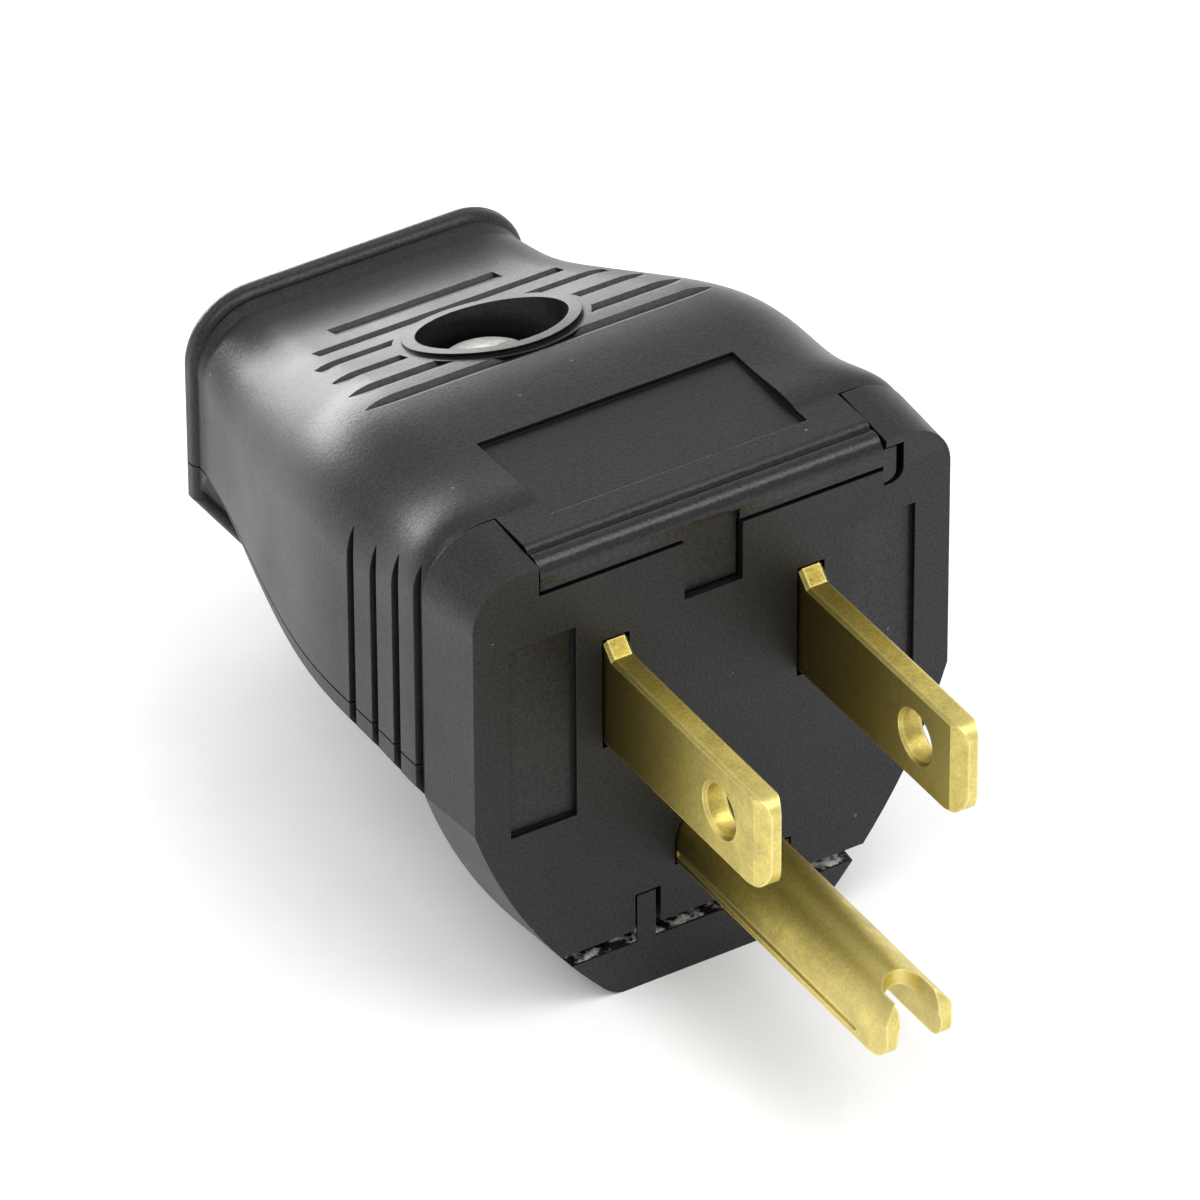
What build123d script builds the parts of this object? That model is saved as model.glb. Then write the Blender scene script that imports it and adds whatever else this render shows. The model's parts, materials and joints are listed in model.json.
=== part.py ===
from build123d import *
import os
from math import hypot

# Grounded plug with a hinged clamshell housing. Millimetres.
# +X is right as seen from the blades, +Y runs back to the cord, +Z is up, away from the ground pin.
# The origin is on the mating face, midway between the two blades at their mid height.

# Mating face
blade_spacing = 12.7
ground_drop = 11.9
face_half_width = 15.5
face_top = 10.6
face_shoulder = 2.9
face_side_break = -6.2
face_foot_half = 6.4
face_side_bulge = 1.05
face_thickness = 3.0

# Housing
seam_y = 4.7
seam_gap = 0.15
cap_proud = 0.05
cap_shoulder = 3.7
cover_margin = 0.35
cover_base = -20.95
cover_side_break = -6.1
cover_side_slope = 0.71
neck_y = 38.2
neck_side_draw = 5.6
neck_top_draw = 7.0
neck_base_draw = 6.9
side_taper_start_y = 14.0
side_taper_end_y = 44.0
top_taper_start_y = 14.0
taper_end_y = 38.0
base_taper_start_y = 20.0
shoulder_full_y = 12.0
front_shoulder = 4.0
middle_shoulder = 6.0
rear_shoulder = 4.2
heel_radius = 2.5
base_skim = 0.08
cover_wall = 1.9
wall_clearance = 0.2
chamber_end_y = 29.0
parting_front_z = -4.6
parting_slope = -0.047
parting_gap = 0.12

# Rear flange
flange_thickness = 1.5
flange_side_proud = 0.35
flange_top_proud = 0.75
flange_side_break = -8.6
flange_round = 0.6
flange_root = 1.0

# Cord inlet
cord_radius = 4.6
cord_z = -5.6
grip_height = 0.6
grip_pitch = 3.0
grip_count = 3
mouth_flare = 0.8

# Screw well and clamping screw
well_y = 23.6
well_radius = 4.35
well_floor_z = 4.1
well_rim_radius = 5.1
well_rim_proud = 0.25
boss_radius = 3.4
boss_overlap = 4.0
shank_radius = 1.75
shank_clearance = 0.15
washer_radius = 3.6
washer_thickness = 0.5
head_radius = 3.2
head_height = 1.9
nut_flats = 7.0
nut_thickness = 3.0
thread_clearance = 0.05
nut_seat_z = -15.4
thread_past_nut = 0.3
head_crown = 1.0
head_bevel = 0.4
screw_tip_bevel = 0.5
drive_width = 0.8
drive_depth = 1.1
drive_angle = 25
tower_wall = 1.3
nut_boss_radius = 5.0

# Hinge bars
ear_width = 4.4
top_bar_radius = 0.95
hinge_gap = 0.15
top_bar_z = 9.75
cap_edge_z = 8.65
top_finger_half = 1.75
top_finger_z = 4.8
finger_top_z = 9.6
finger_depth = 1.6
finger_recess = 0.5
pintle_length = 0.85
pintle_radius = 0.5
stub_round = 0.68
nose_round = 0.15
pocket_width = 1.3
pocket_bottom_z = 7.6
pocket_depth = 1.6
base_slot_top_z = -16.9
base_slot_bottom_z = -17.8
base_bar_radius = 0.8
base_bar_half_length = 9.0
base_finger_x = 4.4
base_finger_half = 0.6
base_notch_gap = 0.35
base_finger_z = -14.4
base_bar_set_back = 0.9
base_web_inset = 1.0
base_web_lead = 0.6
step_y = 1.95
step_round = 0.55
pocket_top_z = 10.15

# Grip details
rib_count = 4
rib_first_y = 5.5
rib_pitch = 2.45
rib_depth = 0.45
rib_front_slope = 1.35
rib_rear_slope = 0.3
rib_top_z = 9.4
rib_run_out = 1.5
groove_half_width = 0.48
groove_depth = 0.3
groove_places = ((18.4, 11.7), (21.0, 10.9), (24.0, 10.2), (27.1, 9.5), (29.7, 8.1), (32.4, 5.5))
label_margin = 7.5
label_front_y = 3.6
label_rear_y = 11.4
label_depth = 0.35
panel_margin = 2.3
panel_width = 4.3
panel_top_z = 5.7
panel_bottom_z = -7.25
panel_depth = 0.35

# Blades
blade_height = 6.35
blade_thickness = 1.5
blade_length = 16.6
blade_hole_radius = 1.55
blade_hole_y = -11.9
blade_tip_low_round = 2.0
blade_tip_high_round = 1.0
blade_tip_bevel = 0.45
blade_tip_bevel_length = 1.2
blade_edge_bevel = 0.2
blade_ramp = 0.8
shoulder_extra = 1.6
shoulder_thickness = 1.5
slot_clearance = 0.14
tab_end_y = 14.5
tab_height = 7.2

# Ground pin
pin_width = 4.8
pin_wall = 1.0
pin_length = 21.3
pin_leg_drop = 1.3
pin_notch_half = 1.25
pin_notch_length = 2.7
pin_tip_low_round = 1.1
pin_tip_high_round = 1.6
pin_tip_bevel = 0.3
pin_tip_bevel_length = 1.4
pin_groove_radius = 0.2
pin_groove_z = -12.6
pin_groove_end = 2.9
pin_shoulder_extra = 1.2
pin_shoulder_rise = 0.4
pin_tab_half = 3.6
pin_tab_thickness = 0.9

# Terminals
terminal_y = 10.2
plate_size = 7.4
plate_thickness = 1.3
plate_round = 0.8
wire_groove_x = 2.2
wire_groove_radius = 0.3
terminal_head_radius = 3.0
terminal_head_height = 2.0
terminal_shank_radius = 1.6
terminal_shank_reach = 2.2
hole_clearance = 0.1

# Terminal block behind the face
spigot_wall = 1.4
spigot_end_y = 9.0
block_gap = 0.1
block_side_gap = 0.4
block_plate = 1.6
barrier_wall = 1.2
barrier_half_gap = 1.6
barrier_end_y = 14.5
barrier_top_z = 7.0
shelf_z = -5.4
shelf_half = 11.0

# Cuts
over = 1.0            # a cutter runs this far past what it cuts
beyond = 60.0         # and this far where it takes all that lies to one side
least_round = 0.6     # the housing's corners stay at least this round
housing_steps = 8     # outlines that the outer skin is lofted through, less one
chamber_steps = 4     # the same for the hollow inside
chamber_lead = 0.5    # the hollow starts this far before the covers

# Worked-out places
cover_half_width = face_half_width + cover_margin
cover_top = face_top + cover_margin
hinge_half_length = face_half_width - ear_width
pocket_half = hinge_half_length + pocket_width
panel_outer_x = face_half_width - panel_margin
panel_inner_x = panel_outer_x - panel_width
label_half = cover_half_width - label_margin
blade_x = blade_spacing / 2
cover_front_y = seam_y + seam_gap
rear_y = neck_y + flange_thickness
face_back_y = face_thickness
shoulder_y = face_back_y + block_gap / 2
block_front_y = shoulder_y + shoulder_thickness + block_gap / 2
block_back_y = block_front_y + block_plate
spigot_inset = cover_wall + wall_clearance
block_inset = spigot_inset + spigot_wall + block_side_gap
slant = hypot(1, cover_side_slope)


def easing(y, start, end):
    t = min(max((y - start) / (end - start), 0), 1)
    return t * t * (3 - 2 * t)


# The housing's outline across the cord axis, at one distance behind the face
def half_width_at(y):
    return cover_half_width - neck_side_draw * easing(y, side_taper_start_y, side_taper_end_y)


def top_at(y):
    return cover_top - neck_top_draw * easing(y, top_taper_start_y, taper_end_y)


def base_at(y):
    return cover_base - base_skim + neck_base_draw * easing(y, base_taper_start_y, taper_end_y)


def shoulder_at(y):
    swell = (middle_shoulder - front_shoulder) * easing(y, cover_front_y, shoulder_full_y)
    shrink = (rear_shoulder - middle_shoulder) * easing(y, base_taper_start_y, neck_y)
    return front_shoulder + swell + shrink


def across(y):
    return Plane((0, y, 0), x_dir=(1, 0, 0), z_dir=(0, -1, 0))


def rounded(shape, shoulder, heel):
    shape = fillet(shape.vertices().group_by(Axis.Y)[-1], max(shoulder, least_round))
    return fillet(shape.vertices().group_by(Axis.Y)[0], max(heel, least_round))


# Upright sides above a break, straight slanted sides below it, and a flat base
def outline(y, half_width, top, base, break_z, shoulder, inset=0.0):
    side = half_width - inset
    bend = break_z + inset * (slant - 1) / cover_side_slope
    low = base + inset
    foot = half_width - inset * slant - cover_side_slope * (break_z - low)
    high = top - inset
    corners = [(-side, high), (side, high), (side, bend), (foot, low), (-foot, low), (-side, bend)]
    shape = make_face(Polyline(*corners, close=True))
    return across(y) * rounded(shape, shoulder - inset, heel_radius - inset)


def housing_outline(y, inset=0.0):
    sizes = (half_width_at(y), top_at(y), base_at(y), cover_side_break, shoulder_at(y))
    return outline(y, *sizes, inset=inset)


# The face's sides bow inwards below their break instead of running straight
def cap_outline(y):
    share = y / seam_y
    side = face_half_width + (cover_half_width + cap_proud - face_half_width) * share
    top = face_top + (cover_top + cap_proud / 2 - face_top) * share
    foot = face_foot_half + (side - face_half_width)
    upper = Polyline((side, face_side_break), (side, top), (-side, top), (-side, face_side_break))
    base = cover_base - base_skim
    chord = Vector(side - foot, face_side_break - base)
    middle = Vector((side + foot) / 2, (face_side_break + base) / 2)
    middle += Vector(chord.Y, -chord.X).normalized() * face_side_bulge
    right = ThreePointArc((side, face_side_break), middle, (foot, base))
    left = ThreePointArc((-foot, base), (-middle.X, middle.Y), (-side, face_side_break))
    shape = make_face(upper + left + Line((-foot, base), (foot, base)) + right)
    shoulder = face_shoulder + (cap_shoulder - face_shoulder) * share
    return across(y) * rounded(shape, shoulder, heel_radius)


def block(x0, x1, y0, y1, z0, z1):
    return Pos((x0 + x1) / 2, (y0 + y1) / 2, (z0 + z1) / 2) * Box(x1 - x0, y1 - y0, z1 - z0)


def rod(radius, start, end):
    axis = Vector(*end) - Vector(*start)
    return Plane(start, z_dir=axis) * extrude(Circle(radius), axis.length)


def parting_z(y):
    return parting_front_z + parting_slope * (y - cover_front_y)


# Everything above (or below) the sloping parting surface of the two covers
def parting_half(above):
    side = 1 if above else -1
    reach = beyond * side
    shift = parting_gap / 2 * side
    y0, y1 = -beyond, rear_y + beyond
    corners = [(y0, parting_z(y0) + shift), (y1, parting_z(y1) + shift), (y1, reach), (y0, reach)]
    return extrude(Plane.YZ * make_face(Polyline(*corners, close=True)), beyond, both=True)


def housing_form(inset=0.0, start=cover_front_y, end=neck_y, steps=housing_steps):
    places = [start + (end - start) * i / steps for i in range(steps + 1)]
    return loft([housing_outline(y, inset) for y in places], ruled=steps < housing_steps)


# A straight plug or bore behind the face, one outline of the housing drawn inwards
def inner_form(inset, start, end):
    return Pos(0, start - spigot_end_y, 0) * extrude(housing_outline(spigot_end_y, inset), start - end)


# The bevelled border strip of the face, from the mating face back to the seam with the covers
def cap_form(end=seam_y):
    return loft([cap_outline(0), cap_outline(end)], ruled=True)


def flange_form():
    y = neck_y - flange_root
    size = (half_width_at(neck_y) + flange_side_proud, top_at(neck_y) + flange_top_proud,
            base_at(neck_y) - flange_top_proud, flange_side_break, rear_shoulder)
    lip = extrude(outline(rear_y, *size), amount=flange_thickness)
    rims = lip.faces().group_by(Axis.Y)
    lip = fillet(rims[-1].edges() + rims[0].edges(), flange_round)
    rim = outline(neck_y + flange_round, *size, inset=flange_round / 2)
    root = loft([housing_outline(y), rim], ruled=True)
    return lip + root


# The hole that the cord comes in by, with ridges that bite its jacket and a flared mouth
def cord_channel():
    channel = rod(cord_radius, (0, chamber_end_y - 2 * over, cord_z), (0, rear_y + over, cord_z))
    for i in range(grip_count):
        y = rear_y - grip_pitch * (i + 1)
        standing = (Align.CENTER, Align.CENTER, Align.MIN)
        slope = Cone(cord_radius - grip_height, cord_radius, grip_height, align=standing)
        slopes = [Plane((0, y, cord_z), z_dir=(0, lean, 0)) * slope for lean in (-1, 1)]
        ends = [(0, y - grip_height, cord_z), (0, y + grip_height, cord_z)]
        channel -= rod(cord_radius + over, *ends) - slopes
    flare = Cone(cord_radius, cord_radius + mouth_flare, mouth_flare)
    return channel + Plane((0, rear_y - mouth_flare / 2, cord_z), z_dir=(0, 1, 0)) * flare


def well_form(radius, bottom):
    return rod(radius, (0, well_y, bottom), (0, well_y, beyond))


def shank_hole():
    return rod(shank_radius + shank_clearance, (0, well_y, cover_base), (0, well_y, well_floor_z + over))


# A V groove across the top that runs out where the shoulders turn down
def cross_groove(y, half):
    z = top_at(y)
    reach = 2 * groove_half_width
    corners = [(y - reach, z + groove_depth), (y + reach, z + groove_depth), (y, z - groove_depth)]
    return extrude(Plane.YZ * make_face(Polyline(*corners, close=True)), half, both=True)


# Upright grooves, cut to one straight depth, that leave ribs like saw teeth: steep in front, gentle behind
def side_grooves():
    low = cover_side_break - rib_run_out
    side = cover_half_width - rib_depth
    cuts = []
    for i in range(rib_count):
        y = rib_first_y + i * rib_pitch
        for lean in (-1, 1):
            mouth = lean * (side + 1)
            corners = [(lean * side, y), (mouth, y + rib_rear_slope), (mouth, y - rib_front_slope)]
            groove = extrude(make_face(Polyline(*corners, close=True)), rib_top_z - low, dir=(0, 0, 1))
            cuts.append(Pos(0, 0, low) * groove)
    return cuts


# The front edge of the top cover: a plate between the cap's ears, a rolled hinge bar and a hooked finger.
# The bar's left end turns in a blind hole, and its right end drops into an open pocket.
def top_hinge():
    low = cap_edge_z + hinge_gap
    back = cover_front_y + cover_wall / 2
    front = step_y - step_round
    corners = [(back, low), (back, cover_top), (front, cover_top), (front, low)]
    profile = make_face(Polyline(*corners, close=True))
    profile = fillet(profile.vertices().group_by(Axis.X)[0].sort_by(Axis.Y)[-1], step_round)
    plate = extrude(Plane.YZ * profile, hinge_half_length, both=True)
    bar_y = top_bar_radius + hinge_gap / 2
    reach = hinge_half_length
    bar = rod(top_bar_radius, (-reach, bar_y, top_bar_z), (reach, bar_y, top_bar_z))
    nose_y = bar_y - top_bar_radius
    nose = block(-reach, reach, nose_y, bar_y, low, top_bar_z)
    bar += fillet(nose.edges().filter_by(Axis.X).group_by(Axis.Z)[0].sort_by(Axis.Y)[0], nose_round)
    half = top_finger_half
    notch = block(-half, half, -over, finger_recess, low - over, finger_top_z)
    finger = block(-top_finger_half, top_finger_half, finger_recess, finger_depth - hinge_gap,
                   top_finger_z + hinge_gap, finger_top_z)
    hinge = plate + bar - notch + finger
    stub = block(reach, reach + pintle_length, nose_y, pocket_depth - hinge_gap,
                 pocket_bottom_z + hinge_gap, pocket_top_z - hinge_gap)
    low_edge = stub.edges().filter_by(Axis.Y).group_by(Axis.Z)[0].sort_by(Axis.X)[-1]
    hinge += fillet(low_edge, stub_round)
    hinge += rod(pintle_radius, (-reach - pintle_length, bar_y, top_bar_z), (-reach, bar_y, top_bar_z))
    return hinge


# The base bar turns on the line between the face and the lip below it
base_bar_y = base_bar_radius + base_bar_set_back
base_bar_z = (base_slot_top_z + base_slot_bottom_z) / 2


def base_hinge():
    deep = cover_base + cover_wall
    full = cap_form(cover_front_y) & block(-beyond, beyond, -over, cover_front_y, cover_base, beyond)
    front_y = face_back_y - hinge_gap
    lip = full & block(-beyond, beyond, -over, front_y, cover_base - over, base_slot_bottom_z)
    floor = full & block(-beyond, beyond, front_y - over, cover_front_y, cover_base - over, deep)
    reach = base_bar_half_length
    web = block(base_web_inset - reach, reach - base_web_inset, base_bar_y - base_web_lead, front_y,
                base_slot_bottom_z - over, base_bar_z)
    bar = rod(base_bar_radius, (-reach, base_bar_y, base_bar_z), (reach, base_bar_y, base_bar_z))
    hinge = lip + floor + web + bar
    for side in (-1, 1):
        x = side * base_finger_x
        half = base_finger_half
        hinge += block(x - half, x + half, 0, finger_depth - hinge_gap, base_slot_bottom_z - over,
                       base_finger_z - hinge_gap)
    return hinge


def make_top_cover(form, chamber, channel):
    cover = (form & parting_half(True)) - chamber
    tower = well_form(well_radius + tower_wall, well_floor_z - tower_wall) & form
    rim = (Pos(0, 0, well_rim_proud) * form) & well_form(well_rim_radius, well_floor_z)
    boss = rod(boss_radius, (0, well_y, parting_front_z - boss_overlap), (0, well_y, well_floor_z))
    boss &= parting_half(True)
    grooves = [cross_groove(y, half) for y, half in groove_places]
    floor_z = cover_top - label_depth
    label = block(-label_half, label_half, label_front_y, label_rear_y, floor_z, cover_top + over)
    cover = cover - grooves + tower + rim + boss + top_hinge()
    return cover - side_grooves() - label - well_form(well_radius, well_floor_z) - shank_hole() - channel


def make_bottom_cover(form, chamber, channel):
    cover = (form & parting_half(False)) - chamber
    low = cover_base + cover_wall / 2
    seat = rod(nut_boss_radius, (0, well_y, low), (0, well_y, nut_seat_z + cover_wall))
    boss = rod(boss_radius, (0, well_y, low), (0, well_y, parting_front_z)) & parting_half(False)
    cover = cover + (seat & form) + boss + base_hinge()
    hexagon = RegularPolygon(nut_flats / 2 + hole_clearance, 6, major_radius=False)
    pocket = extrude(hexagon, nut_seat_z - cover_base + over)
    return cover - side_grooves() - Pos(0, well_y, cover_base - over) * pocket - shank_hole() - channel


def blade_slot(side, grow):
    x = side * blade_x
    half = blade_thickness / 2 + grow
    return block(x - half, x + half, -2 * over, face_back_y + over, -blade_height / 2 - grow,
                 blade_height / 2 + blade_ramp + grow)


# The ground pin's arched outline, solid, seen along the pin
def arch(radius, drop):
    shape = Pos(0, -ground_drop) * Circle(radius)
    return shape + Pos(0, -ground_drop - drop / 2) * Rectangle(2 * radius, drop)


def make_front_cap():
    bore_inset = spigot_inset + spigot_wall
    bore = inner_form(bore_inset, face_back_y, spigot_end_y + over)
    spigot = inner_form(spigot_inset, face_back_y, spigot_end_y)
    cap = cap_form() & block(-beyond, beyond, -over, seam_y, base_slot_top_z, beyond)
    below = block(-beyond, beyond, face_back_y, spigot_end_y, -beyond, cap_edge_z)
    cap = cap + (spigot & below) - bore
    reach = hinge_half_length + hinge_gap
    cap -= block(-reach, reach, -over, seam_y + over, cap_edge_z, beyond)
    half = top_finger_half + hinge_gap
    cap -= block(-half, half, -over, finger_depth, top_finger_z, beyond)
    bar_reach = base_bar_half_length + hinge_gap
    ends = [(-bar_reach, base_bar_y, base_bar_z), (bar_reach, base_bar_y, base_bar_z)]
    cap -= rod(base_bar_radius + hinge_gap, *ends)
    pocket = block(hinge_half_length, pocket_half, -over, pocket_depth, pocket_bottom_z, pocket_top_z)
    cap -= fillet(pocket.edges().filter_by(Axis.Y).group_by(Axis.Z)[0].sort_by(Axis.X)[-1], pintle_length)
    hole_end = hinge_half_length + pintle_length + hinge_gap
    bar_y = top_bar_radius + hinge_gap / 2
    ends = [(-hole_end, bar_y, top_bar_z), (-hinge_half_length, bar_y, top_bar_z)]
    cap -= rod(pintle_radius + hole_clearance, *ends)
    for side in (-1, 1):
        left = panel_inner_x if side > 0 else -panel_outer_x
        cap -= block(left, left + panel_width, -over, panel_depth, panel_bottom_z, panel_top_z)
        cap -= blade_slot(side, slot_clearance)
        inner = side * (base_finger_x - base_finger_half - base_notch_gap)
        outer = side * (base_finger_x + base_finger_half + hinge_gap)
        cap -= block(min(inner, outer), max(inner, outer), -over, finger_depth, -beyond, base_finger_z)
    hole = arch(pin_width / 2 + slot_clearance, pin_leg_drop + slot_clearance)
    return cap - extrude(across(-over) * hole, -(face_back_y + 2 * over))


# A blade is blanked from strip: prong, shoulders that lock behind the face, and the terminal tab
def make_blade(side):
    half = blade_height / 2
    high = half + blade_ramp
    wide = half + shoulder_extra
    tab = tab_height / 2
    back = shoulder_y + shoulder_thickness
    corners = [(-blade_length, -half), (-blade_length, half), (-blade_ramp, half), (0, high),
               (shoulder_y, high), (shoulder_y, wide), (back, wide), (back, tab), (tab_end_y, tab),
               (tab_end_y, -tab), (back, -tab), (back, -wide), (shoulder_y, -wide), (shoulder_y, -half)]
    flat = make_face(Polyline(*corners, close=True))
    flat = fillet(flat.vertices().group_by(Axis.X)[0].sort_by(Axis.Y)[0], blade_tip_low_round)
    flat = fillet(flat.vertices().group_by(Axis.X)[0].sort_by(Axis.Y)[-1], blade_tip_high_round)
    flat = fillet(flat.vertices().group_by(Axis.X)[-1], blade_tip_high_round)
    flat = flat - Pos(blade_hole_y, 0) * Circle(blade_hole_radius)
    flat = flat - Pos(terminal_y, 0) * Circle(terminal_shank_radius + hole_clearance)
    blade = extrude(Plane.YZ * flat, blade_thickness / 2, both=True)
    outer = blade.faces().sort_by(Axis.X)
    blade = Pos(side * blade_x, 0, 0) * chamfer(outer[0].edges() + outer[-1].edges(), blade_edge_bevel)
    for lean in (-1, 1):
        x = side * blade_x + lean * blade_thickness / 2
        start = -blade_length + blade_tip_bevel_length
        thin = x - lean * blade_tip_bevel
        wide, tip = x + lean * over, -blade_length
        corners = [(wide, tip - over), (wide, start), (x, start), (thin, tip), (thin, tip - over)]
        blade -= extrude(make_face(Polyline(*corners, close=True)), beyond, both=True)
    return blade


# The ground pin is strip folded into an arched channel; its crown runs on behind the face as a tab
def make_ground_pin():
    radius = pin_width / 2
    outer = arch(radius, pin_leg_drop)
    inner = arch(radius - pin_wall, pin_leg_drop + over)
    back = shoulder_y + shoulder_thickness
    pin = extrude(across(-pin_length) * outer, -(pin_length + back))
    low = -ground_drop - pin_leg_drop
    crown = -ground_drop + radius
    wide = radius + pin_shoulder_extra
    wings = block(-wide, wide, shoulder_y, back, low, crown + pin_shoulder_rise)
    pin = pin + wings - extrude(across(-pin_length - over) * inner, -(pin_length + back + 2 * over))
    notch_end = -pin_length + pin_notch_length
    notch_y = notch_end - pin_notch_half
    notch = block(-pin_notch_half, pin_notch_half, -pin_length - over, notch_y, low - over, 0)
    notch += rod(pin_notch_half, (0, notch_y, low - over), (0, notch_y, 0))
    pin -= notch
    skin = slot_clearance / 10
    reach = wide + over
    high = crown + pin_shoulder_rise + over
    side_view = block(-reach, reach, -pin_length, back + over, low - skin, high)
    tip_edges = side_view.edges().filter_by(Axis.X).group_by(Axis.Y)[0].sort_by(Axis.Z)
    side_view = fillet(tip_edges[0], pin_tip_low_round)
    side_view -= block(-reach - over, reach + over, -pin_length - over, 0, crown + skin, high + over)
    tip_edges = side_view.edges().filter_by(Axis.X).group_by(Axis.Y)[0].sort_by(Axis.Z)
    pin &= fillet(tip_edges[-1], pin_tip_high_round)
    for side in (-1, 1):
        tip_y = -pin_length - skin
        start_y = -pin_length + pin_tip_bevel_length
        corners = [(side * (radius - pin_tip_bevel), tip_y), (side * radius, start_y),
                   (side * (radius + over), start_y), (side * (radius + over), tip_y)]
        bevel = extrude(make_face(Polyline(*corners, close=True)), crown - low + 2 * over)
        pin -= Pos(0, 0, low - over) * bevel
        start = (side * radius, -pin_length + pin_groove_end, pin_groove_z)
        groove = rod(pin_groove_radius, start, (side * radius, 0, pin_groove_z))
        pin -= groove + Pos(*start) * Sphere(pin_groove_radius)
    tab_front = (shoulder_y + back) / 2
    tab = block(-pin_tab_half, pin_tab_half, tab_front, tab_end_y, crown - pin_tab_thickness, crown)
    bore = Circle(terminal_shank_radius + hole_clearance)
    hole = Pos(0, terminal_y, 0) * extrude(bore, beyond, both=True)
    return pin + (tab - hole)


# A square plate, grooved underneath, that clamps the bared wire against the tab
def clamp_plate():
    plate = block(-plate_size / 2, plate_size / 2, -plate_size / 2, plate_size / 2, 0, plate_thickness)
    plate = fillet(plate.edges().filter_by(Axis.Z), plate_round)
    for x in (-wire_groove_x, wire_groove_x):
        plate -= rod(wire_groove_radius, (x, -plate_size, 0), (x, plate_size, 0))
    hole = rod(terminal_shank_radius + hole_clearance, (0, 0, -over), (0, 0, plate_thickness + over))
    return plate - hole


# A slotted screw that stands on z = 0: its head is a disc with a bevelled rim, domed where a crown is given
def screw(head_r, head_h, shank_r, shank_l, crown=0.0):
    head = rod(head_r, (0, 0, 0), (0, 0, head_h - crown))
    if crown:
        ball = (head_r ** 2 + crown ** 2) / (2 * crown)
        head = rod(head_r, (0, 0, 0), (0, 0, head_h)) & Pos(0, 0, head_h - ball) * Sphere(ball)
    else:
        head = chamfer(head.edges().group_by(Axis.Z)[-1], head_bevel)
    half = drive_width / 2
    slot = block(-head_r - over, head_r + over, -half, half, head_h - drive_depth, head_h + over)
    shank = rod(shank_r, (0, 0, -shank_l), (0, 0, head_h / 4))
    shank = chamfer(shank.edges().group_by(Axis.Z)[0], screw_tip_bevel)
    return head - slot + shank


def hex_nut():
    nut = extrude(RegularPolygon(nut_flats / 2, 6, major_radius=False), nut_thickness)
    return nut - rod(shank_radius + thread_clearance, (0, 0, -over), (0, 0, nut_thickness + over))


# The block closes the face from behind, holds the blades by their shoulders and keeps the terminals apart
def make_terminal_block():
    plate = inner_form(block_inset, block_front_y, block_back_y)
    walls = []
    for side in (-1, 1):
        x = side * (barrier_half_gap + barrier_wall / 2)
        left, right = x - barrier_wall / 2, x + barrier_wall / 2
        walls.append(block(left, right, block_front_y, barrier_end_y, shelf_z, barrier_top_z))
    under = shelf_z - barrier_wall
    walls.append(block(-shelf_half, shelf_half, block_front_y, barrier_end_y, under, shelf_z))
    body = plate + walls
    for side in (-1, 1):
        x = side * blade_x
        half = blade_thickness / 2 + slot_clearance
        reach = tab_height / 2 + slot_clearance
        body -= block(x - half, x + half, block_front_y - over, block_back_y + over, -reach, reach)
    crown = -ground_drop + pin_width / 2
    half = pin_tab_half + slot_clearance
    low, high = crown - pin_wall - slot_clearance, crown + slot_clearance
    return body - block(-half, half, block_front_y - over, block_back_y + over, low, high)


def save(shape, node):
    export_step(shape, "parts/" + node + ".step")
    print(node, len(shape.solids()), round(shape.volume, 1), shape.is_valid)


os.makedirs("parts", exist_ok=True)
form = (housing_form() + flange_form()) & block(-beyond, beyond, 0, rear_y + over, cover_base, beyond)
chamber = housing_form(cover_wall, cover_front_y - chamber_lead, chamber_end_y, chamber_steps)
channel = cord_channel()
save(make_top_cover(form, chamber, channel), "top_cover")
save(make_bottom_cover(form, chamber, channel), "bottom_cover")
save(make_front_cap(), "front_cap")
save(make_terminal_block(), "terminal_block")
save(make_blade(-1), "hot_blade")
save(make_blade(1), "neutral_blade")
save(make_ground_pin(), "ground_pin")

tab_face = blade_x + blade_thickness / 2
tab_under = -ground_drop + pin_width / 2 - pin_tab_thickness
stack = blade_thickness + plate_thickness
shank_length = stack + terminal_shank_reach
terminals = {
    "hot": Plane((-tab_face, terminal_y, 0), x_dir=(0, 1, 0), z_dir=(-1, 0, 0)),
    "neutral": Plane((tab_face, terminal_y, 0), x_dir=(0, 1, 0), z_dir=(1, 0, 0)),
    "ground": Plane((0, terminal_y, tab_under), x_dir=(0, 1, 0), z_dir=(0, 0, -1)),
}
for name, place in terminals.items():
    save(place * clamp_plate(), name + "_clamp_plate")
    bolt = screw(terminal_head_radius, terminal_head_height, terminal_shank_radius, shank_length)
    save(place * Pos(0, 0, plate_thickness) * bolt, name + "_terminal_screw")

head_z = well_floor_z + washer_thickness
bolt_length = head_z - nut_seat_z + nut_thickness + thread_past_nut
cover_bolt = screw(head_radius, head_height, shank_radius, bolt_length, head_crown)
save(Pos(0, well_y, head_z) * Rot(0, 0, drive_angle) * cover_bolt, "cover_screw")
washer = rod(washer_radius, (0, well_y, well_floor_z), (0, well_y, head_z)) - shank_hole()
save(washer, "screw_washer")
save(Pos(0, well_y, nut_seat_z - nut_thickness) * hex_nut(), "cover_nut")
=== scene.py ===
import bpy
import json
from math import cos, radians, sin
from mathutils import Matrix, Vector


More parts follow.
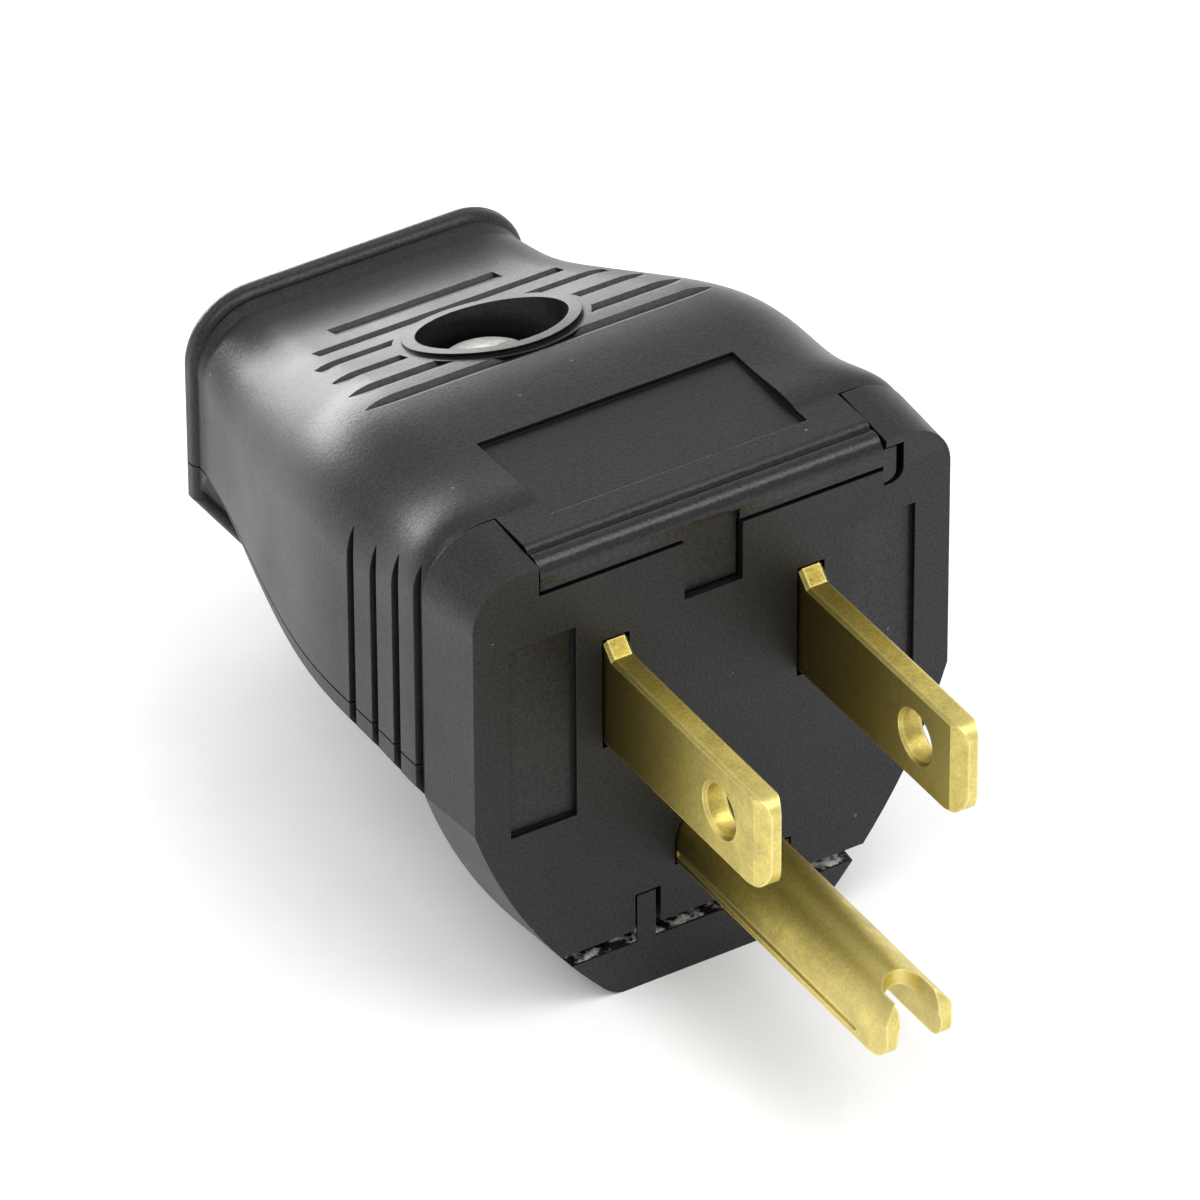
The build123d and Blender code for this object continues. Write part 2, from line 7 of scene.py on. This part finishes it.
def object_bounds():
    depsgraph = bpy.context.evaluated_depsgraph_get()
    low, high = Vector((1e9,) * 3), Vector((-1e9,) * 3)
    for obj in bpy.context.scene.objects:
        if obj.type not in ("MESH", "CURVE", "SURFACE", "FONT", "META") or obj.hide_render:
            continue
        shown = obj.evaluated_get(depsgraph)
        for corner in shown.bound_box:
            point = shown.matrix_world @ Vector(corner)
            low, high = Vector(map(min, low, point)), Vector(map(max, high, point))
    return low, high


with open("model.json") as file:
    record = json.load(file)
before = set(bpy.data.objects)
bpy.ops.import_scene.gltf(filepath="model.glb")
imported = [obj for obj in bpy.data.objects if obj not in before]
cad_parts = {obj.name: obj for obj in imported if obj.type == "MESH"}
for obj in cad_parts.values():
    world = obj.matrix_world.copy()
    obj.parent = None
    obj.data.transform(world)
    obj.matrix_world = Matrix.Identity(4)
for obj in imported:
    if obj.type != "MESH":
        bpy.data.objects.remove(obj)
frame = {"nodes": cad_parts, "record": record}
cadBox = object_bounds()
mm = 0.001
print("frame loaded:", len(frame["nodes"]), "CAD pieces")

# Camera, aimed at the photograph's viewing angle
cameraView = {
    "azimuth": -31.4045,       # degrees round the plug, 0 looks along +Y
    "elevation": 36.3675,      # degrees above the horizon
    "roll": -0.2877,           # degrees
    "distance": 678.253 * mm,  # from the mating face
    "shiftRight": -6.298 * mm,
    "shiftUp": 3.286 * mm,
    "lens": 367.4,             # mm
    "sensor": 36.0,            # mm
    "nearest": 10 * mm,        # anything closer isn't drawn
}


def addCamera(view):
    turn, lift, roll = (radians(view[name]) for name in ("azimuth", "elevation", "roll"))
    back = Vector((sin(turn) * cos(lift), -cos(turn) * cos(lift), sin(lift)))
    level = Vector((cos(turn), sin(turn), 0))
    right = level * cos(roll) + back.cross(level) * sin(roll)
    up = back.cross(right)
    place = right * view["shiftRight"] + up * view["shiftUp"] + back * view["distance"]
    data = bpy.data.cameras.new("photoCamera")
    data.sensor_width = view["sensor"]
    data.lens = view["lens"]
    data.clip_start = view["nearest"]
    camera = bpy.data.objects.new("photoCamera", data)
    camera.matrix_world = Matrix((
        (right.x, up.x, back.x, place.x),
        (right.y, up.y, back.y, place.y),
        (right.z, up.z, back.z, place.z),
        (0, 0, 0, 1)))
    bpy.context.scene.collection.objects.link(camera)
    bpy.context.scene.camera = camera


addCamera(cameraView)
print("camera placed")


# One function turns sRGB hex into the linear colour that the shaders want
def linearFromHex(code):
    channels = [int(code[i:i + 2], 16) / 255 for i in (1, 3, 5)]
    return [c / 12.92 if c <= 0.04045 else ((c + 0.055) / 1.055) ** 2.4 for c in channels] + [1.0]


# Adds one node: its own settings by name, then its inputs, which are values or other nodes' outputs.
# An input is named (a space becomes _) or numbered (_0 is the first).
def addNode(material, kind, settings=None, **inputs):
    tree = material.node_tree
    node = tree.nodes.new("ShaderNode" + kind)
    for name, value in (settings or {}).items():
        setattr(node, name, value)
    for name, value in inputs.items():
        key = int(name[1:]) if name[1:].isdigit() else name.replace("_", " ")
        if isinstance(value, bpy.types.NodeSocket):
            tree.links.new(value, node.inputs[key])
        else:
            node.inputs[key].default_value = value
    return node


def newMaterial(name):
    material = bpy.data.materials.new(name)
    material.use_nodes = True
    material.node_tree.nodes.clear()
    return material


def finishMaterial(material, shader):
    output = addNode(material, "OutputMaterial")
    material.node_tree.links.new(shader.outputs[0], output.inputs["Surface"])
    return material


# Noise from a pattern: mm across its patches, how many finer layers it has, and how strong they are
def addNoise(material, place, pattern):
    size, layers, strength = pattern
    values = {"Scale": 1 / (size * mm), "Detail": layers, "Roughness": strength}
    return addNode(material, "TexNoise", Vector=place, **values).outputs["Fac"]


# A value's span from low to high stretched to the span from first to last
def remap(material, value, low, high, first=0.0, last=1.0):
    spans = {"From_Min": low, "From_Max": high, "To_Min": first, "To_Max": last}
    return addNode(material, "MapRange", Value=value, **spans).outputs[0]


def combine(material, operation, first, second):
    return addNode(material, "Math", {"operation": operation}, _0=first, _1=second).outputs[0]


def vectorMath(material, operation, first, second):
    return addNode(material, "VectorMath", {"operation": operation}, _0=first, _1=second).outputs[0]


def mixValues(material, share, first, second):
    return addNode(material, "Mix", _0=share, _2=first, _3=second).outputs[0]


def mixColours(material, share, under, code):
    over = linearFromHex(code)
    return addNode(material, "Mix", {"data_type": "RGBA"}, _0=share, _6=under, _7=over).outputs[2]


# A colour that runs from one hex colour to the other while the value goes from low to high
def rampBetween(material, value, low, high, firstCode, lastCode):
    ramp = addNode(material, "ValToRGB", Fac=value)
    for element, place, code in zip(ramp.color_ramp.elements, (low, high), (firstCode, lastCode)):
        element.position = place
        element.color = linearFromHex(code)
    return ramp.outputs["Color"]


# 1 inside a box with axes along the frame's, else 0
def insideBox(material, place, low, high):
    middle = [(a + b) / 2 * mm for a, b in zip(low, high)]
    perHalf = [2 / ((b - a) * mm) for a, b in zip(low, high)]
    moved = vectorMath(material, "SUBTRACT", place, middle)
    scaled = vectorMath(material, "MULTIPLY", moved, perHalf)
    spread = addNode(material, "VectorMath", {"operation": "ABSOLUTE"}, _0=scaled).outputs[0]
    x, y, z = addNode(material, "SeparateXYZ", Vector=spread).outputs
    widest = combine(material, "MAXIMUM", combine(material, "MAXIMUM", x, y), z)
    return combine(material, "LESS_THAN", widest, 1.0)


# A surface reads as flat or as an edge by how far its rounded normal leans from its own
edgeLook = {
    "samples": 4,
    "flat": 0.98,  # cosine of the lean up to which it's flat
    "edge": 0.85,  # and from which it's all edge
}


def roundedNormal(material, reach):
    return addNode(material, "Bevel", {"samples": edgeLook["samples"]}, Radius=reach * mm).outputs[0]


# Near 1 where the surface turns within the reach of an edge, 0 on the flats
def edgeMask(material, reach):
    own = addNode(material, "NewGeometry").outputs["Normal"]
    rounded = roundedNormal(material, reach)
    match = addNode(material, "VectorMath", {"operation": "DOT_PRODUCT"}, _0=rounded, _1=own)
    return remap(material, match.outputs["Value"], edgeLook["flat"], edgeLook["edge"])


# Black nylon, injection moulded in a spark-eroded mould: matt, with a fine grain that catches the light
# in pinpoints, slightly worn and lighter along its corners, with painted shade that dims its reflection
# in grooves and seams, and painted glints in the slot at the bottom hinge.
nylonLook = {
    "deep": "#060607",
    "pale": "#0e0e10",
    "worn": "#343436",
    "dust": "#55555a",
    # colour of the painted glints in the slot at the bottom hinge
    "paintedGlintColour": "#e6e6e2",
    "ior": 1.45,
    "roughness": 0.4,
    "glossier": 0.05,            # what the soft patches take off the roughness
    "matter": 0.06,              # or add to it
    "faceRoughness": 0.5,        # the mould's front insert is eroded more coarsely
    "barRoughness": 0.2,         # the hinge bars are rubbed smooth
    "grain": (0.2, 3.0, 0.6),    # pattern of the pits in the mould
    "grainDepth": 0.03,          # mm
    "grainStrength": 0.6,
    "cloud": (9.0, 2.0, 0.5),    # pattern of the soft patches where the gloss changes
    "cloudSpan": (0.3, 0.7),     # of their noise, from deep to pale
    "edgeRound": 0.07,           # mm, how far the eye sees a moulded edge as rounded
    "creviceShade": 0.7,              # mm, reach of the painted shade that dims the reflection in grooves and seams
    "creviceSamples": 8,
    "creviceSpan": (0.4, 0.92),  # how open a spot is, from a groove to the flats
    "shineSpan": (0.16, 0.48),   # the shine at those two ends
    "glintFrom": (0.35, 0.65),   # of the grain's noise
    "glintSpan": (0.8, 1.2),     # what it makes of the shine
    "paintedGlint": (1.1, 3.0, 0.7),     # pattern of the painted glints in the slot
    "paintedGlintSpan": (0.48, 0.64),    # of its noise, from none to full painted glint
    "dustPitch": 2.6,            # mm between specks of dust
    "dustSize": 0.035,           # their radius as a share of the pitch
}
# Low and high corner in mm of the rubbed top bar, the slot with the painted glints, and the face
topBar = ((-11.2, -0.1, 9.3), (11.2, 2.0, 10.8))
baseSlot = ((-9.2, 0.15, -18.2), (9.2, 2.6, -16.9))
face = ((-16.0, -0.1, -16.9), (16.0, 0.03, 8.6))


def makeNylon(name, look):
    material = newMaterial(name)
    place = addNode(material, "TexCoord").outputs["Object"]
    grain = addNoise(material, place, look["grain"])
    cloud = addNoise(material, place, look["cloud"])
    colour = rampBetween(material, cloud, *look["cloudSpan"], look["deep"], look["pale"])
    worn = combine(material, "MULTIPLY", edgeMask(material, look["edgeRound"]), grain)
    colour = mixColours(material, worn, colour, look["worn"])
    cells = addNode(material, "TexVoronoi", Vector=place, Scale=1 / (look["dustPitch"] * mm))
    dust = combine(material, "LESS_THAN", cells.outputs["Distance"], look["dustSize"])
    colour = mixColours(material, dust, colour, look["dust"])
    # Painted glints: pale flecks of highlight in the slot at the bottom hinge
    paintedGlint = remap(material, addNoise(material, place, look["paintedGlint"]), *look["paintedGlintSpan"])
    paintedGlint = combine(material, "MULTIPLY", paintedGlint, insideBox(material, place, *baseSlot))
    colour = mixColours(material, paintedGlint, colour, look["paintedGlintColour"])

    glossy, matt = look["roughness"] - look["glossier"], look["roughness"] + look["matter"]
    dull = remap(material, cloud, *look["cloudSpan"], glossy, matt)
    for box, value in ((topBar, look["barRoughness"]), (face, look["faceRoughness"])):
        dull = mixValues(material, insideBox(material, place, *box), dull, value)

    # Painted shade: the reflection is dimmed where the surface is closed in, in grooves and seams
    settings = {"samples": look["creviceSamples"], "only_local": True}
    openness = addNode(material, "AmbientOcclusion", settings, Distance=look["creviceShade"] * mm)
    shine = remap(material, openness.outputs["AO"], *look["creviceSpan"], *look["shineSpan"])
    glint = remap(material, grain, *look["glintFrom"], *look["glintSpan"])
    shine = combine(material, "MULTIPLY", shine, glint)

    bump = addNode(material, "Bump", Strength=look["grainStrength"], Distance=look["grainDepth"] * mm,
                   Height=grain, Normal=roundedNormal(material, look["edgeRound"]))
    shader = addNode(material, "BsdfPrincipled", Base_Color=colour, Roughness=dull, IOR=look["ior"],
                     Specular_IOR_Level=shine, Normal=bump.outputs[0])
    return finishMaterial(material, shader)


# Rolled yellow brass strip, blanked and coined: a satin face with cloudy tarnish and dark specks,
# faint rolling lines along the strip, painted shade that darkens it towards the face except where a
# side faces up, and paler tips and edges that are partly rubbing wear and partly painted highlight.
brassLook = {
    "deep": "#8a7a36",
    "pale": "#e0cb66",
    # colour of the paler tips and edges: partly rubbing wear, partly painted highlight
    "edge": "#f3e6a0",
    "speck": "#4a3d14",
    # colour of the painted shade near the face
    "root": "#463d1c",
    "roughness": 0.4,
    "glossier": 0.05,            # what the pale patches take off the roughness
    "matter": 0.1,               # what the dark patches add
    "faceShadeReach": 13.0,           # mm that the painted shade runs out from the face
    "faceShadeShare": 0.85,           # its share at the face
    "facingUpSpan": (0.3, 0.8),     # how squarely a side faces up, from keeping all the painted shade to painted as lit from above
    "shadeLeftOnTops": 0.15,             # what stays of the painted shade there
    "tipStart": 7.0,             # mm from the face where the brass starts to turn paler, by rubbing wear and painted highlight
    "tipEnd": 19.0,              # mm
    "tipShare": 0.42,            # how much paler it is there
    "edgeReach": 0.24,           # mm that the paler edge, partly polish and partly painted highlight, runs in from an edge
    "cloud": (2.4, 6.0, 0.7),    # pattern of the tarnish patches
    "cloudSpan": (0.3, 0.7),     # of their noise, from dull to bright
    "tintSpan": (0.32, 0.66),    # of the patches with satin mixed in, from deep to pale
    "satin": (0.14, 2.0, 0.5),   # pattern of the fine satin grain
    "satinShare": 0.35,          # how much of it is mixed into the patches
    "specks": (0.35, 3.0, 0.7),  # pattern of the dark specks
    "speckSpan": (0.56, 0.76),   # of their noise, from none to full
    "speckShare": 0.3,           # how dark the darkest gets
    "lines": (0.16, 2.0, 0.5),   # pattern of the rolling lines, across the strip
    "lineStretch": 0.04,         # how fast they change along it, against 1 across
    "lineShare": 0.07,           # of the relief, the rest is satin
    "lineDepth": 0.003,          # mm
    "lineStrength": 0.5,
}


def makeBrass(name, look):
    material = newMaterial(name)
    place = addNode(material, "TexCoord").outputs["Object"]
    cloud = addNoise(material, place, look["cloud"])
    specks = addNoise(material, place, look["specks"])
    stretched = addNode(material, "Mapping", Vector=place, Scale=(1.0, look["lineStretch"], 1.0))
    lines = addNoise(material, stretched.outputs[0], look["lines"])
    satin = addNoise(material, place, look["satin"])
    patches = mixValues(material, look["satinShare"], cloud, satin)
    colour = rampBetween(material, patches, *look["tintSpan"], look["deep"], look["pale"])
    spotted = remap(material, specks, *look["speckSpan"], 0.0, look["speckShare"])
    colour = mixColours(material, spotted, colour, look["speck"])

    # Painted shade: darker towards the face, less so on sides that face up
    along = addNode(material, "SeparateXYZ", Vector=place).outputs[1]
    root = remap(material, along, -look["faceShadeReach"] * mm, 0.0, 0.0, look["faceShadeShare"])
    normal = addNode(material, "NewGeometry").outputs["Normal"]
    upward = addNode(material, "SeparateXYZ", Vector=normal).outputs[2]
    shadeLeftByFacing = remap(material, upward, *look["facingUpSpan"], 1.0, look["shadeLeftOnTops"])
    root = combine(material, "MULTIPLY", root, shadeLeftByFacing)
    colour = mixColours(material, root, colour, look["root"])
    # Paler towards the tips and along the edges: partly rubbing wear, partly painted highlight
    wearAndPaintedHighlight = remap(material, along, -look["tipStart"] * mm, -look["tipEnd"] * mm, 0.0, look["tipShare"])
    wearAndPaintedHighlight = combine(material, "MAXIMUM", wearAndPaintedHighlight, edgeMask(material, look["edgeReach"]))
    colour = mixColours(material, wearAndPaintedHighlight, colour, look["edge"])

    matt, glossy = look["roughness"] + look["matter"], look["roughness"] - look["glossier"]
    dull = remap(material, cloud, *look["cloudSpan"], matt, glossy)
    height = mixValues(material, look["lineShare"], satin, lines)
    bump = addNode(material, "Bump", Strength=look["lineStrength"], Distance=look["lineDepth"] * mm,
                   Height=height)
    shader = addNode(material, "BsdfPrincipled", Base_Color=colour, Metallic=1.0, Roughness=dull,
                     Normal=bump.outputs[0])
    return finishMaterial(material, shader)


# What the plated and the turned parts share
plateLook = {
    "metallic": 1.0,
    "glossier": 0.05,
    "matter": 0.08,
    "tintSpan": (0.35, 0.65),  # of the noise, from deep to pale
    "cloudSpan": (0.3, 0.7),   # and from dull to bright
    "pitDepth": 0.004,         # mm
    "pitStrength": 0.4,
}
# Steel with a bright zinc plate: silvery, faintly blue-green, with soft cloudy crystals.
zincLook = {**plateLook, "deep": "#c4c9c0", "pale": "#eef1ea", "roughness": 0.42,
            "cloud": (0.9, 4.0, 0.6), "metallic": 0.4}
# Steel with a nickel plate: a warm grey that mirrors softly.
nickelLook = {**plateLook, "deep": "#a39f94", "pale": "#cfccc2", "roughness": 0.24,
              "cloud": (1.2, 4.0, 0.6)}
# Steel dyed green, so that the ground terminal can be told apart: a deep metallic green.
greenLook = {**plateLook, "deep": "#1d5a34", "pale": "#2f7d4a", "roughness": 0.3,
             "cloud": (1.0, 4.0, 0.6)}
# Brass turned from bar: yellower and shinier than the rolled strip, with no tarnish.
turnedLook = {**plateLook, "deep": "#a08a3a", "pale": "#cdb45c", "roughness": 0.26,
              "cloud": (1.2, 4.0, 0.6)}


def makePlated(name, look):
    material = newMaterial(name)
    place = addNode(material, "TexCoord").outputs["Object"]
    cloud = addNoise(material, place, look["cloud"])
    colour = rampBetween(material, cloud, *look["tintSpan"], look["deep"], look["pale"])
    matt, glossy = look["roughness"] + look["matter"], look["roughness"] - look["glossier"]
    dull = remap(material, cloud, *look["cloudSpan"], matt, glossy)
    bump = addNode(material, "Bump", Strength=look["pitStrength"], Distance=look["pitDepth"] * mm,
                   Height=cloud)
    shader = addNode(material, "BsdfPrincipled", Base_Color=colour, Metallic=look["metallic"],
                     Roughness=dull, Normal=bump.outputs[0])
    return finishMaterial(material, shader)


finishes = {
    "black_nylon": makeNylon("mouldedBlackNylon", nylonLook),
    "brass": makeBrass("rolledBrass", brassLook),
    "zinc_plate": makePlated("zincPlatedSteel", zincLook),
    "nickel_screw": makePlated("nickelPlatedSteel", nickelLook),
    "green_screw": makePlated("greenDyedSteel", greenLook),
    "brass_screw": makePlated("turnedBrass", turnedLook),
}
for entry in frame["record"]["subparts"]:
    piece = frame["nodes"][entry["node"]]
    piece.data.materials.clear()
    piece.data.materials.append(finishes[entry["material_slot"]])
print("materials given:", len(finishes))

# Studio: a white floor, three soft boxes and an even white surround. A box gives its place, width
# and height in m and its power in W.
studio = {
    "floorColour": "#f4f4f4",
    "floorPale": "#fafafa",
    "floorSpeck": (5.0, 2.0, 0.5),  # pattern of the paint's faint mottling
    "floorRoughness": 0.9,
    "floorSize": 6.0,               # m
    "surround": 1.0,                # strength of the white all round
    "aim": (0.0, 0.01, 0.0),        # m, what the boxes point at
    "leftBox": (-0.5, -0.1, 0.8, 0.5, 0.5, 2.0),
    "rearBox": (0.02, 0.45, 0.03, 0.34, 0.1, 1.2),
    "topBox": (0.25, -0.35, 0.9, 0.6, 0.6, 4.0),
}


# Matt white paint: lighter and darker by a hair, so that the floor isn't one dead tone.
def addFloor(look, height):
    half = look["floorSize"] / 2
    corners = [(x * half, y * half, height) for x, y in ((-1, -1), (1, -1), (1, 1), (-1, 1))]
    mesh = bpy.data.meshes.new("studioFloor")
    mesh.from_pydata(corners, [], [(0, 1, 2, 3)])
    floor = bpy.data.objects.new("studioFloor", mesh)
    bpy.context.scene.collection.objects.link(floor)
    material = newMaterial("paintedFloor")
    place = addNode(material, "TexCoord").outputs["Object"]
    speck = addNoise(material, place, look["floorSpeck"])
    colour = rampBetween(material, speck, 0.0, 1.0, look["floorColour"], look["floorPale"])
    shader = addNode(material, "BsdfPrincipled", Base_Color=colour, Roughness=look["floorRoughness"])
    mesh.materials.append(finishMaterial(material, shader))


def addSoftBox(name, aim, x, y, z, width, height, power):
    data = bpy.data.lights.new(name, "AREA")
    data.shape = "RECTANGLE"
    data.size = width
    data.size_y = height
    data.energy = power
    lamp = bpy.data.objects.new(name, data)
    lamp.location = (x, y, z)
    lamp.rotation_euler = (Vector(aim) - lamp.location).to_track_quat("-Z", "Y").to_euler()
    bpy.context.scene.collection.objects.link(lamp)


def addSurround(strength):
    world = bpy.data.worlds.new("whiteSurround")
    world.use_nodes = True
    world.node_tree.nodes.clear()
    bpy.context.scene.world = world
    light = addNode(world, "Background", Color=(1, 1, 1, 1), Strength=strength)
    output = addNode(world, "OutputWorld")
    world.node_tree.links.new(light.outputs[0], output.inputs["Surface"])


addFloor(studio, cadBox[0].z)
for boxName in ("leftBox", "rearBox", "topBox"):
    addSoftBox(boxName, studio["aim"], *studio[boxName])
addSurround(studio["surround"])
bpy.context.scene.view_settings.view_transform = "Standard"
print("studio ready")
